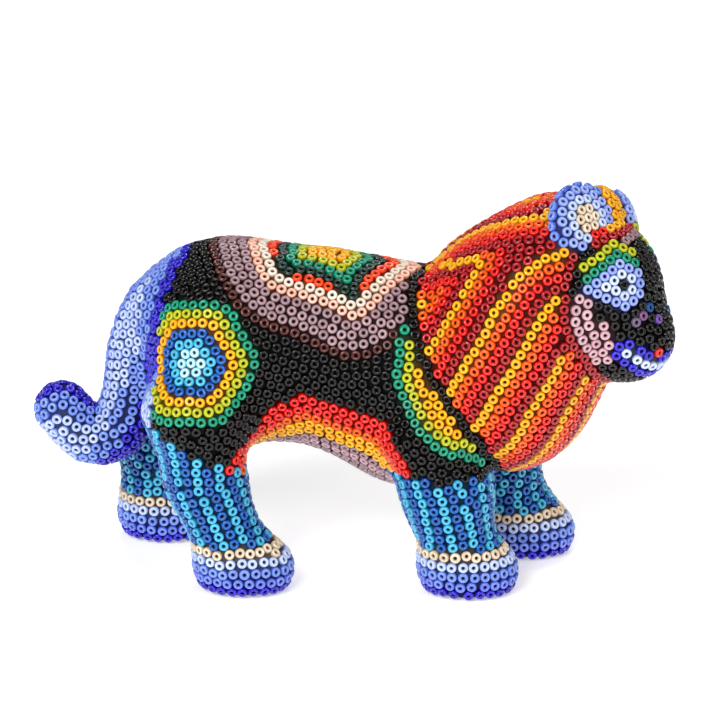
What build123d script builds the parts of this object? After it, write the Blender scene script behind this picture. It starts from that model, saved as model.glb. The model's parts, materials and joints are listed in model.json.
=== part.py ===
"""Beaded lion: a walking lion carved in wood, coated with wax and covered with glass seed beads.

The lion faces +X, its right side is -Y, +Z is up, and it stands on z = 0. Lengths are millimetres.
One smooth skin is blended from simple forms. The wood and the wax lie under that skin. Every bead is
a short glass tube standing on it, and the beads are laid in rows, as a bead worker lays them: each
row keeps one distance from a line of the pattern.
"""
from build123d import *
import math
import os

import numpy as np
from scipy.spatial import cKDTree

# --- driving dimensions -------------------------------------------------------------------------
BEAD_OUTER = 2.06          # outer diameter of a size 11 seed bead
BEAD_BEVEL = 0.26          # bevel of its outer edges
BEAD_HOLE = 0.76           # its hole
BEAD_HEIGHT = 1.35         # length of the bead along its hole
BEAD_LIFT = 0.05           # clearance under a bead
BEAD_STEP = 2.24           # from bead to bead along a row
ROW_STEP = 2.06            # from row to row
BEAD_APART = 2.10          # least distance between the middles of two beads
RING_STEP = 2.15           # from ring to ring round the flower, the eyes, the ears and the paws
COLUMN_STEP = 2.2          # from column to column on a leg
COLUMN_BEAD = 2.2          # from bead to bead in a column
SKIN_CELL = 1.25           # size of the cells that the skin is measured in
GAPS = (1.66, 1.76, 1.84, 1.92, 1.98)   # a place this far from its neighbours takes one more bead
EASING = 14                # rounds of easing before gaps are filled again
CROWD = 1.7                # beads nearer than this are one too many
EASE = 0.45                # share of a crowded pair's overlap that each bead gives way
SPREAD = 0.35              # share of the way that a bead moves to the middle of its own place
SKIN_BOX = ((-70.0, -30.0, -1.0), (70.0, 30.0, 94.0))   # corners of the space that the skin lies in
SEAM = 2.5                 # rows that differ by more than this across one cell are a seam

BACK_HEIGHT = 71.0         # top of the rump
FRONT_LEG_SIDE = 12.5      # front legs from the middle plane
HIND_LEG_SIDE = 15.5       # hind legs from the middle plane
HEAD_TURN = 17.0           # degrees that the head looks towards its right side
HEAD_PIVOT = np.array([40.0, 0.0, 60.0])

# Forms as a middle and three radii. The head's forms lie on the unturned head.
RUMP = ((-26, 0, BACK_HEIGHT - 21), (18.5, 18.5, 21))
BARREL = ((-8, 0, 48.5), (25, 17.5, 21))
CHEST = ((12, 0, 42.5), (21, 18.5, 23.5))
HAUNCH = ((-27.5, 9, 46.5), (12.5, 12.5, 19))
MANE_TOP = ((41, 0, 61), (16.4, 22, 21.2))
MANE_FRONT = ((32, 0, 49.5), (21, 22.5, 26.5))     # this one doesn't turn with the head
CREST = ((49.5, 3.5, 71.5), (6.5, 8.0, 12.8))      # tuft between the ears
SKULL = ((50, 0, 62), (14.7, 14.5, 17))
MUZZLE = ((57.5, 0, 54), (10, 10, 9.5))
PAW_HEIGHT = 4.6
PAW_RADII = (10.6, 8.4, 8.2)
EARS = {                   # right and left ear on the unturned head; angles are in degrees
    -1: dict(place=(49.3, -4.3, 77.8), radii=(3.4, 9.6, 9.0), turn=-23.0, lean=24.0, roll=-15.0,
             hollow=(51.2, -6.4, 80.3)),
    1: dict(place=(52.0, 10.5, 75.0), radii=(3.2, 6.6, 6.9), turn=40.0, lean=10.0, roll=0.0,
            hollow=(54.5, 12.6, 75.6)),
}

WAX = 1.2                  # thickness of the wax
WAX_GAP = 0.2              # clearance between the wax and the beads
EAR_WAX = 0.5              # thickness of the wax on the ears
NECK_DOWEL = 8.0           # diameters of the dowels
LEG_DOWEL = 5.0
TAIL_DOWEL = 4.0
NECK_PIN = ((12, 0, 48), (40, 0, 56))      # ends of the neck's dowel
TAIL_PIN = ((-34, 0, 54), (-45, 0, 45))    # ends of the tail's dowel
KNEE_PIN = 4               # a leg's dowel starts this far below the middle of the knee
TOP_PIN = 6                # and ends this far above the middle of the leg's top
COVER = BEAD_HEIGHT + BEAD_LIFT            # from the skin to the outside of the beads


# --- distance to the simple forms ---------------------------------------------------------------
def turned(points, degrees, pivot):
    """Points as seen from a form that is turned about the upright axis through its pivot."""
    angle = math.radians(degrees)
    x = points[:, 0] - pivot[0]
    y = points[:, 1] - pivot[1]
    forward = x * math.cos(angle) + y * math.sin(angle)
    aside = y * math.cos(angle) - x * math.sin(angle)
    return np.column_stack([forward + pivot[0], aside + pivot[1], points[:, 2]])


def ellipsoid(points, centre, radii):
    """Distance to an ellipsoid, close to exact near its surface."""
    local = points - np.array(centre, float)
    radii = np.array(radii, float)
    k0 = np.linalg.norm(local / radii, axis=1)
    k1 = np.linalg.norm(local / radii**2, axis=1)
    return k0 * (k0 - 1.0) / np.maximum(k1, 1e-9)


def limb(points, start, start_radius, end, end_radius):
    """Distance to a limb: balls of changing radius along a straight line."""
    start = np.array(start, float)
    axis = np.array(end, float) - start
    along = np.clip((points - start) @ axis / (axis @ axis), 0.0, 1.0)
    spine = start + along[:, None] * axis
    radius = start_radius + along * (end_radius - start_radius)
    return np.linalg.norm(points - spine, axis=1) - radius


def blended(first, second, width):
    """Union of two distances with a soft fillet between them."""
    mix = np.clip(0.5 + 0.5 * (second - first) / width, 0.0, 1.0)
    return second * (1.0 - mix) + first * mix - width * mix * (1.0 - mix)


# --- the lion's skin ----------------------------------------------------------------------------
TAIL_LINE = [(-34, 0, 60, 8.0), (-40.5, 0, 55, 8.0), (-44.7, 0, 46.5, 7.2), (-46.3, -0.5, 37, 6.7),
             (-50, -1, 29, 6.5), (-56, -1.5, 28, 6.3), (-61.3, -2, 33.5, 6.0)]    # places and radii
TAIL_SPLIT = 2             # straight limbs from one of these places to the next

LEGS = {
    "front_right_leg": dict(side=-FRONT_LEG_SIDE, top=(17, 34, 10.5), knee=(20.5, 22, 8.8),
                            ankle=(22.5, 11, 8.2), paw=25.0),
    "front_left_leg": dict(side=FRONT_LEG_SIDE, top=(22, 34, 10.5), knee=(28, 22, 8.8),
                           ankle=(32.5, 11, 8.2), paw=35.5),
    "hind_right_leg": dict(side=-HIND_LEG_SIDE, top=(-31, 38, 11.5), knee=(-29.5, 24, 7.6),
                           ankle=(-25, 11, 7.6), paw=-21.5),
    "hind_left_leg": dict(side=HIND_LEG_SIDE, top=(-35, 38, 11.5), knee=(-43.5, 24, 8.4),
                          ankle=(-44, 11, 7.8), paw=-42.0),
}


def torso_form(points):
    """Rump, barrel and chest."""
    body = blended(ellipsoid(points, *RUMP), ellipsoid(points, *BARREL), 8.0)
    body = blended(body, ellipsoid(points, *CHEST), 8.0)
    sides = np.column_stack([points[:, 0], np.abs(points[:, 1]), points[:, 2]])
    return blended(body, ellipsoid(sides, *HAUNCH), 6.0)


def mane_form(points):
    """Mane: a ball round the head that runs down to a wedge on the chest."""
    head = turned(points, -HEAD_TURN, HEAD_PIVOT)
    mane = blended(ellipsoid(head, *MANE_TOP), ellipsoid(points, *MANE_FRONT), 6.0)
    return blended(mane, ellipsoid(head, *CREST), 2.0)


def face_form(points):
    """Face in front of the mane, with brow, muzzle and chin."""
    head = turned(points, -HEAD_TURN, HEAD_PIVOT)
    return blended(ellipsoid(head, *SKULL), ellipsoid(head, *MUZZLE), 4.0)


def ear_axes(ear):
    """Directions of an ear on the unturned head: out of its face, across it, and up along it."""
    turn, lean, roll = (math.radians(ear[name]) for name in ("turn", "lean", "roll"))
    outward = np.array([math.cos(lean) * math.cos(turn), math.cos(lean) * math.sin(turn), math.sin(lean)])
    upright = np.array([-math.sin(lean) * math.cos(turn), -math.sin(lean) * math.sin(turn), math.cos(lean)])
    upright = upright * math.cos(roll) + np.cross(upright, outward) * math.sin(roll)
    return outward, np.cross(upright, outward), upright


def ear_form(points, side):
    """One round ear: a thick disc that leans back and looks forwards and to its own side."""
    ear = EARS[side]
    head = turned(points, -HEAD_TURN, HEAD_PIVOT)
    local = (head - np.array(ear["place"])) @ np.column_stack(ear_axes(ear))
    return ellipsoid(local, (0, 0, 0), ear["radii"])


def leg_joint(leg, name):
    """Middle and radius of a leg at its top, knee or ankle."""
    forward, height, radius = leg[name]
    return (forward, leg["side"], height), radius


def paw_shape(leg):
    """Middle and radii of a leg's paw."""
    return (leg["paw"], leg["side"], PAW_HEIGHT), PAW_RADII


def leg_form(points, leg):
    """One leg with its paw, standing on z = 0."""
    upper = limb(points, *leg_joint(leg, "top"), *leg_joint(leg, "knee"))
    lower = limb(points, *leg_joint(leg, "knee"), *leg_joint(leg, "ankle"))
    return blended(blended(upper, lower, 5.0), ellipsoid(points, *paw_shape(leg)), 4.0)


def tail_limbs():
    """Start, radius, end and radius of the tail's limbs, which follow a smooth curve."""
    line = np.array(TAIL_LINE, float)
    line = np.concatenate([[2 * line[0] - line[1]], line, [2 * line[-1] - line[-2]]])
    places = []
    for before, start, end, after in zip(line[:-3], line[1:-2], line[2:-1], line[3:]):
        for share in np.arange(TAIL_SPLIT) / TAIL_SPLIT:
            straight = start + share * (end - before) / 2
            square = (2 * before - 5 * start + 4 * end - after) / 2
            cubic = (3 * start - 3 * end + after - before) / 2
            places.append(straight + share**2 * square + share**3 * cubic)
    places.append(line[-2])
    ends = zip(places[:-1], places[1:])
    return [(tuple(start[:3]), start[3], tuple(end[:3]), end[3]) for start, end in ends]


def tail_form(points):
    """Tail: it lies down the rump and curls out at its end."""
    shape = np.full(len(points), np.inf)
    for piece in tail_limbs():
        shape = np.minimum(shape, limb(points, *piece))
    return shape


def skin(points):
    """Distance from the skin that the beads stand on, negative inside the lion."""
    shape = blended(torso_form(points), mane_form(points), 3.0)
    shape = blended(shape, face_form(points), 2.5)
    for leg in LEGS.values():
        shape = blended(shape, leg_form(points, leg), 3.5)
    shape = blended(shape, tail_form(points), 4.0)
    for side in (-1, 1):
        shape = blended(shape, ear_form(points, side), 1.5)
    return np.maximum(shape + COVER, -points[:, 2])


def bead_level(points):
    """Distance from the level of the beads' middles."""
    return skin(points) - BEAD_LIFT - BEAD_HEIGHT / 2.0


def slope(shape, points):
    """Unit direction in which the distance grows, at each point."""
    reach = 0.05
    columns = []
    for axis in np.eye(3):
        columns.append(shape(points + reach * axis) - shape(points - reach * axis))
    grade = np.column_stack(columns)
    return grade / np.maximum(np.linalg.norm(grade, axis=1, keepdims=True), 1e-9)


def settled(points, rounds=4):
    """Points moved onto the level of the beads' middles."""
    for _ in range(rounds):
        points = points - bead_level(points)[:, None] * slope(bead_level, points)
    return points


# --- tools for laying rows ----------------------------------------------------------------------
def level_mesh():
    """Points on the beads' level and the triangles between them."""
    low, high = np.array(SKIN_BOX)
    counts = np.ceil((high - low) / SKIN_CELL).astype(int) + 1
    steps = [low[axis] + SKIN_CELL * np.arange(counts[axis]) for axis in range(3)]
    grid = np.stack(np.meshgrid(*steps, indexing="ij"), axis=-1)
    inside = (bead_level(grid.reshape(-1, 3)) < 0).reshape(counts)
    near = [slice(None, -1), slice(1, None)]
    filled = sum(inside[i, j, k].astype(int) for i in near for j in near for k in near)
    crossed = (filled > 0) & (filled < 8)
    number = np.full(crossed.shape, -1)
    number[crossed] = np.arange(crossed.sum())
    centres = low + SKIN_CELL * (np.argwhere(crossed) + 0.5)
    return settled(centres), level_triangles(inside, number)


def level_triangles(inside, number):
    """Two triangles for each grid edge that the level crosses."""
    found = []
    for axis in range(3):
        change = np.diff(inside, axis=axis)
        edges = np.argwhere(change)
        across = [other for other in range(3) if other != axis]
        edges = edges[(edges[:, across] > 0).all(axis=1)]
        first, second = np.eye(3, dtype=int)[across]
        corners = [edges, edges - first, edges - first - second, edges - second]
        ids = [number[tuple(corner.T)] for corner in corners]
        found.append(np.column_stack([ids[0], ids[1], ids[2]]))
        found.append(np.column_stack([ids[0], ids[2], ids[3]]))
    return np.concatenate(found)


def level_lines(points, triangles, field, level):
    """Lines on the skin along which the field has one value, as lists of points."""
    value = field - level
    corner = value[triangles]
    steep = np.ptp(corner, axis=1) > SEAM
    used = (corner.min(axis=1) < 0) & (corner.max(axis=1) >= 0) & ~steep
    places = {}
    links = {}
    for triangle in triangles[used]:
        ends = []
        for a, b in ((0, 1), (1, 2), (2, 0)):
            one, two = sorted((triangle[a], triangle[b]))
            if (value[one] < 0) != (value[two] < 0):
                share = value[one] / (value[one] - value[two])
                places[one, two] = points[one] + share * (points[two] - points[one])
                ends.append((one, two))
        links.setdefault(ends[0], []).append(ends[1])
        links.setdefault(ends[1], []).append(ends[0])
    return [np.array([places[key] for key in chain]) for chain in chains(links)]


def chains(links):
    """Join linked keys into runs; a closed run repeats its first key at its end."""
    runs = []
    waiting = sorted(links, key=lambda key: len(links[key]))
    seen = set()
    for start in waiting:
        if start in seen:
            continue
        run = [start]
        seen.add(start)
        while True:
            ahead = [key for key in links[run[-1]] if key not in seen]
            if not ahead:
                break
            run.append(ahead[0])
            seen.add(ahead[0])
        if len(run) > 3 and run[0] in links[run[-1]]:
            run.append(run[0])
        runs.append(run)
    return runs


def evenly_spaced(line, step, shift):
    """Points one step apart along a line; a closed line takes a whole number of steps."""
    lengths = np.linalg.norm(np.diff(line, axis=0), axis=1)
    distance = np.concatenate([[0.0], np.cumsum(lengths)])
    whole = distance[-1]
    closed = np.allclose(line[0], line[-1])
    if closed:
        count = max(1, round(whole / step))
        stops = (np.arange(count) + shift) * whole / count
    else:
        stops = np.arange(shift * step, whole, step)
    return np.column_stack([np.interp(stops, distance, line[:, axis]) for axis in range(3)])


def at_stations(line, stations):
    """Points where the station number along a line passes a whole number."""
    value = stations(line)
    found = []
    for index in range(len(line) - 1):
        low, high = sorted((value[index], value[index + 1]))
        for whole in range(math.ceil(low), math.ceil(high)):
            share = (whole - value[index]) / (value[index + 1] - value[index])
            found.append(line[index] + share * (line[index + 1] - line[index]))
    return np.array(found).reshape(-1, 3)


# --- lines of the pattern -----------------------------------------------------------------------
# Each line is given on the lion's right side and serves both sides.
WHITE_LINE = [(-19, 0, 71), (-18, -4.3, 69.4), (-16.4, -9, 67), (-14.5, -10.3, 65.5), (-8.8, -10.7, 64.5),
              (-1, -12, 62.3), (1, -12.7, 61), (2.8, -11.8, 61.8), (5.3, -8.5, 64.5), (9.6, -3.2, 66.2),
              (11, 0, 66.4)]
STAR_LINE = [(-15, 0, 70), (-14.3, -4.3, 68.9), (-14.2, -8.5, 66.9), (-9.8, -7.6, 67), (-5.3, -8.7, 65.9),
             (-2.2, -9.6, 64.8), (0.9, -11.5, 62.4), (1.8, -7.6, 65.6), (3.5, -4, 66.9), (6, 0, 67)]
BAND_LINE = [(-24.4, -22.1, 28.3), (-19.5, -18, 34.5), (-15.2, -16, 39.9), (-9.1, -16.5, 43.3),
             (-0.2, -16.7, 40.4), (8.5, -18.2, 38.6), (11.8, -20.5, 31.3), (14.1, -20.8, 27)]
SHOULDER_LINE = [(10.6, -15, 57.5), (9.4, -17.6, 48.6), (10.8, -18.4, 42.5), (14.8, -21.7, 36.7),
                 (20.5, -21.5, 31.9), (28, -16.2, 28.5)]
MANE_EDGE = [(15, 0, 70), (14, -5.4, 64.8), (14.2, -11.6, 60.3), (15.6, -15.4, 54.2), (19.3, -17.3, 46.2),
             (24.6, -19, 39.6), (29.6, -16.2, 31.9), (32.4, -8, 24.5), (33.2, 0, 21)]
MANE_HOOK = [(11, -2, 66), (15.4, -3.5, 65.8), (19, -6.7, 68.8), (23, -10.3, 70.9), (27.3, -13.9, 71.6),
             (25.1, -15.2, 68.1), (22.1, -16.3, 62.2), (17.1, -15.9, 53.2), (13, -16.5, 46)]
MANE_STRAND = [(50, -14, 76), (43, -16.1, 74), (38.7, -17.8, 72.6), (35, -19, 70.2), (32.7, -20.2, 66.2),
               (28.3, -21.1, 57.5), (22.3, -18.9, 46.4), (16.3, -18, 35), (10, -18, 24)]
CROWN_STRAND = [(50, -8, 80), (39.6, -8.8, 80.2), (35.1, -8.7, 79.4), (30.1, -6.4, 77.9), (26, -3.6, 76.2),
                (15, -1, 70)]
TAIL_EDGE = [(-33, -3, 70), (-36.5, -9, 64), (-38.5, -12, 57), (-39, -12.5, 49), (-39, -10, 42),
             (-41, -7, 35), (-44, -6, 27), (-51, -3, 21)]
TAIL_RIDGE = [(-33, 0, 69), (-38.9, 0, 66.3), (-46.8, 0, 60), (-51.4, 0, 48.6), (-52.5, 0, 38.9),
              (-54, 0, 36), (-57, -1, 37.7), (-61.3, -1.5, 39.8), (-65.5, -2, 37.8)]
TAIL_TIP = -53.0           # the tip lies behind this
FLOWER_CENTRE = (-31.6, -20.7, 50.4)
FLOWER_BEND = 16.0         # the skin's bend radius round it
FLOWER_CORNERS = 6
FLOWER_DRAW = 0.05         # how far its rings are drawn out to the corners
EAR_BEND = 9.0             # the skin's bend radius round the hollow of an ear
BACK_LOW = 55.0            # the pattern on the back lies above this height
EYE_CENTRE = (59.9, -9.2, 67.9)            # on the unturned head


def on_right_side(points):
    """Points of the left side moved to the same places on the right side."""
    return np.column_stack([points[:, 0], -np.abs(points[:, 1]), points[:, 2]])


def on_head(points):
    """Points as they lie on the unturned head."""
    return turned(points, -HEAD_TURN, HEAD_PIVOT)


def fine_line(corners):
    """A pattern line as close points on the skin."""
    corners = np.array(corners, float)
    lengths = np.linalg.norm(np.diff(corners, axis=0), axis=1)
    distance = np.concatenate([[0.0], np.cumsum(lengths)])
    stops = np.arange(0.0, distance[-1], 0.25)
    line = np.column_stack([np.interp(stops, distance, corners[:, axis]) for axis in range(3)])
    return settled(line)


def along_skin(chord, bend):
    """Length over a skin of one bend radius, from the straight distance."""
    return 2.0 * bend * np.arcsin(np.clip(chord / (2.0 * bend), 0.0, 1.0))


def rows_from(corners, bend):
    """Function that counts rows from a pattern line."""
    tree = cKDTree(fine_line(corners))

    def count(points):
        chord = tree.query(on_right_side(points))[0]
        return along_skin(chord, bend) / ROW_STEP
    return count


def above(points, corners):
    """Whether a point is higher than a pattern line that runs from rear to front."""
    corners = np.array(corners, float)
    return points[:, 2] > np.interp(points[:, 0], corners[:, 0], corners[:, 2])


def ahead(points, corners):
    """Whether a point is in front of a pattern line that runs from high to low."""
    corners = np.array(corners, float)[::-1]
    return points[:, 0] > np.interp(points[:, 2], corners[:, 2], corners[:, 0])


def between_ends(points, corners):
    """Whether a point lies between the rear and the front end of a pattern line."""
    return (points[:, 0] > corners[0][0]) & (points[:, 0] < corners[-1][0])


# --- regions ------------------------------------------------------------------------------------
FACE_EDGE = [(44, 56.0), (47, 54.3), (51, 53.2), (56, 51.0), (61, 49.9), (73, 49.7), (76, 50.6), (82, 55.5)]
FACE_PEAK = 5.5            # how far the edge comes forward over the forehead
PEAK_FADE = 7.5            # width over which it goes back again at each side
PEAK_LOW = 72.0            # it comes forward above this height
FACE_LOW = 40.0            # no part of the face is lower
TAIL_FRONT = -38.0         # the tail lies behind this
TAIL_STRIP_LOW = 35.0      # the tail's strip on the rump ends above this height
LEG_TOP_FRONT = 26.5       # height where the front legs' columns end
LEG_TOP_HIND = 31.0        # the same over the knee of a hind leg
LEG_TOP_SLANT = 0.55       # the hind legs' columns end lower towards the belly
RING_FOOT = 1.3            # height of the lowest bead row
SOLE_EDGE = 0.95           # beads' middles below this height would be on the flat sole


def face_rows(points):
    """Rows forward from the edge between mane and face."""
    head = on_head(points)
    edge = np.array(FACE_EDGE)
    peak = FACE_PEAK * np.clip(1.5 - np.abs(head[:, 1]) / PEAK_FADE, 0.0, 1.0) * (head[:, 2] > PEAK_LOW)
    return (head[:, 0] - np.interp(head[:, 2], edge[:, 0], edge[:, 1]) - peak) / ROW_STEP


def leg_top(points, name):
    """Height at which a leg's columns end, at each point."""
    if name.startswith("front"):
        return np.full(len(points), LEG_TOP_FRONT)
    return LEG_TOP_HIND - LEG_TOP_SLANT * (points[:, 0] - LEGS[name]["knee"][0])


def regions(points):
    """Name of the region of the lion that each point lies in."""
    trunk = np.minimum(torso_form(points), mane_form(points))
    name = np.where(ahead(points, MANE_EDGE), "mane", "torso").astype("<U16")
    face = (face_rows(points) > 0) & (on_head(points)[:, 2] > FACE_LOW)
    name[face & (name == "mane")] = "face"
    tail = (tail_form(points) < trunk) & (points[:, 0] < TAIL_FRONT)
    behind = (name == "torso") & ~ahead(points, TAIL_EDGE[:6]) & (points[:, 2] > TAIL_STRIP_LOW)
    name[tail | behind] = "tail"
    for leg, form in LEGS.items():
        near = leg_form(points, form) < np.minimum(trunk, tail_form(points))
        name[near & (points[:, 2] < leg_top(points, leg))] = leg
    for side, ear in ((-1, "right_ear"), (1, "left_ear")):
        rest = np.minimum(mane_form(points), face_form(points))
        name[ear_form(points, side) < rest] = ear
    return name


# --- how each region's rows run and what colours they have --------------------------------------
def flower_rows(points):
    """Rings round the middle of the haunch, drawn out a little to six corners."""
    local = on_right_side(points) - np.array(FLOWER_CENTRE)
    chord = np.linalg.norm(local, axis=1)
    angle = np.arctan2(local[:, 2], local[:, 0])
    ring = along_skin(chord, FLOWER_BEND) / RING_STEP
    return ring * (1.0 - FLOWER_DRAW * np.cos(FLOWER_CORNERS * angle))


def saddle_rows(points):
    """Rows down from the white zigzag, negative inside it."""
    count = ROWS["white"](points)
    inside = above(points, WHITE_LINE) & between_ends(points, WHITE_LINE) & (points[:, 2] > BACK_LOW)
    return np.where(inside, -count, count)


def star_rows(points):
    """Rows up from the star's outline towards the spine."""
    count = ROWS["star"](points)
    inside = above(points, STAR_LINE) & between_ends(points, STAR_LINE) & (points[:, 2] > BACK_LOW)
    return np.where(inside, count, -count)


def strand_rows(points):
    """Rows of the mane in front of its long strand."""
    count = ROWS["strand"](points)
    return np.where(above(points, MANE_STRAND[::-1]), -count, count)


def hook_rows(points):
    """Rows of the mane round its hooked strand, negative inside the hook."""
    rising = np.array(MANE_HOOK[:5], float)
    falling = np.array(MANE_HOOK[4:], float)[::-1]
    under = points[:, 2] < np.interp(points[:, 0], rising[:, 0], rising[:, 2])
    behind = points[:, 0] < np.interp(points[:, 2], falling[:, 2], falling[:, 0])
    count = ROWS["hook"](points)
    return np.where(under & behind, -count, count)


def crown_rows(points):
    """Rows down from the strand that runs back from the ear, negative towards the spine."""
    line = np.array(CROWN_STRAND, float)[::-1]
    outside = np.abs(points[:, 1]) > np.interp(points[:, 0], line[:, 0], -line[:, 1])
    count = ROWS["crown"](points)
    return np.where(outside, count, -count)


def eye_rows(points):
    """Rings round each eye."""
    local = on_right_side(on_head(points)) - np.array(EYE_CENTRE)
    return np.linalg.norm(local, axis=1) / RING_STEP


def mouth_rows(points):
    """Rows round the line of the mouth."""
    head = on_right_side(on_head(points))
    return cKDTree(MOUTH_FINE).query(head)[0] / ROW_STEP


def ear_rows(points, side):
    """Rings round the hollow of an ear."""
    local = on_head(points) - np.array(EARS[side]["hollow"])
    return along_skin(np.linalg.norm(local, axis=1), EAR_BEND) / RING_STEP


SOLE_SHARE = 0.3           # a leg's middle line goes on below the ankle by this share of the shin


def leg_axis(leg):
    """Corners of a leg's middle line from the sole up."""
    ankle, knee, top = (np.array(leg_joint(leg, name)[0], float) for name in ("ankle", "knee", "top"))
    sole = ankle + (ankle - knee) * SOLE_SHARE
    return np.array([sole, ankle, knee, top])


def leg_place(points, leg):
    """For each point: height along the leg, and the axis point beside it."""
    axis = leg_axis(leg)
    lengths = np.linalg.norm(np.diff(axis, axis=0), axis=1)
    best = np.full(len(points), np.inf)
    height = np.zeros(len(points))
    beside = np.zeros((len(points), 3))
    for index, length in enumerate(lengths):
        run = (axis[index + 1] - axis[index]) / length
        share = (points - axis[index]) @ run
        if index > 0:
            share = np.maximum(share, 0.0)
        if index < len(lengths) - 1:
            share = np.minimum(share, length)
        place = axis[index] + share[:, None] * run
        gap = np.linalg.norm(points - place, axis=1)
        closer = gap < best
        best[closer] = gap[closer]
        height[closer] = (lengths[:index].sum() + share)[closer]
        beside[closer] = place[closer]
    return height, beside


def column_rows(points, leg):
    """Columns of a leg, counted both ways round from its outer side."""
    outer = math.copysign(1.0, leg["side"])
    beside = leg_place(points, leg)[1]
    local = points - beside
    angle = np.arctan2(local[:, 0], outer * local[:, 1])
    return angle * np.linalg.norm(local, axis=1) / COLUMN_STEP


def column_stations(leg):
    """Function that counts bead places up a leg's columns."""
    return lambda points: leg_place(points, leg)[0] / COLUMN_BEAD


def picked(rows, names, first=0):
    """Colour of each row from a list that starts at row `first`; the ends carry on."""
    index = np.clip(np.round(rows).astype(int) - first, 0, len(names) - 1)
    return np.array(names)[index]


CHIN = 44.0                # heights on the face where its edge rows end
CHEEK_TOP = 66.0
CHEEK = [(50.0, 65.0), (50.0, 65.5), (51.5, 65.0), (54.0, 61.5)]    # from and to what height, row by row
FOREHEAD_LOW = 74.0        # the mauve patch lies above this
FOREHEAD_HALF = 7.0        # half its width
TUFT_REAR = 47.0           # the gold between the ears lies in front of this
TUFT_LOW = 77.0            # and above this
HOOK_LOW = 64.0            # the hook's upper arm lies above this
TAIL_DARK = 1.6            # ultramarine beside the body reaches this many rows
TAIL_MIDDLING = 3.4        # and periwinkle this many
SHOULDER_LOW = 28.5        # the shoulder lines lie between these heights
SHOULDER_HIGH = 57.0
SHOULDER_FRONT = 30.0      # and behind this
MANE_COLOURS = ["mane_yellow", "mane_orange", "mane_red", "mane_dark_red"]
MOUTH_LINE = [(60.7, -9.4, 53.3), (62.3, -8, 51.8), (63.6, -6.2, 50.4), (64.5, -4.2, 49.8), (65.4, -2, 49.5),
              (65.6, 0, 49.4)]
MOUTH_FINE = np.concatenate([np.linspace(a, b, 8) for a, b in zip(MOUTH_LINE[:-1], MOUTH_LINE[1:])])


def mane_paint(rows, points):
    """Four colours that follow each other across the strands."""
    return np.array(MANE_COLOURS)[np.round(rows).astype(int) % 4]


def hook_paint(rows, points):
    """The same four, but dark red fills the wedge outside the hook."""
    return np.where(np.round(rows) >= 3, "mane_dark_red", mane_paint(rows, points))


def crown_paint(rows, points):
    """The same four, with gold between the ears."""
    head = on_head(points)
    between = (head[:, 0] > TUFT_REAR) & (head[:, 2] > TUFT_LOW) & (rows < -0.5)
    return np.where(between, "mane_yellow", mane_paint(rows, points))


def tail_paint(rows, points):
    """Ultramarine beside the body and along the top of the tip, light blue down the middle."""
    shaft = picked(rows, ["tail_periwinkle", "tail_periwinkle", "tail_light_blue"])
    tip = picked(rows, ["tail_ultramarine", "tail_ultramarine", "tail_periwinkle", "tail_periwinkle",
                        "tail_light_blue", "tail_light_blue", "tail_light_blue", "tail_light_blue",
                        "tail_periwinkle"])
    name = np.where(points[:, 0] < TAIL_TIP, tip, shaft)
    beside = ROWS["tail_edge"](points)
    name = np.where(beside < TAIL_MIDDLING, "tail_periwinkle", name)
    return np.where(beside < TAIL_DARK, "tail_ultramarine", name)


def black_paint(rows, points):
    """Black beads all over."""
    return np.full(len(points), "face_black")


def edge_paint(rows, points):
    """Crimson edge, then black, with a pink cheek and a mauve patch on the forehead."""
    head = on_head(points)
    row = np.round(rows).astype(int)
    name = np.where(row <= 0, "mane_dark_red", "face_black")
    low, high = np.array(CHEEK)[np.clip(row, 0, len(CHEEK) - 1)].T
    cheek = (row >= 1) & (row < len(CHEEK)) & (head[:, 2] > low) & (head[:, 2] < high)
    brow = (head[:, 2] > FOREHEAD_LOW) & (np.abs(head[:, 1]) < FOREHEAD_HALF)
    forehead = (row >= 1) & (row <= 2) & brow
    name = np.where(cheek, "cheek_pink", name)
    return np.where(forehead, "forehead_mauve", name)


def mouth_paint(rows, points):
    """Blue lips round the white mouth."""
    return np.full(len(points), "muzzle_ultramarine")


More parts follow.
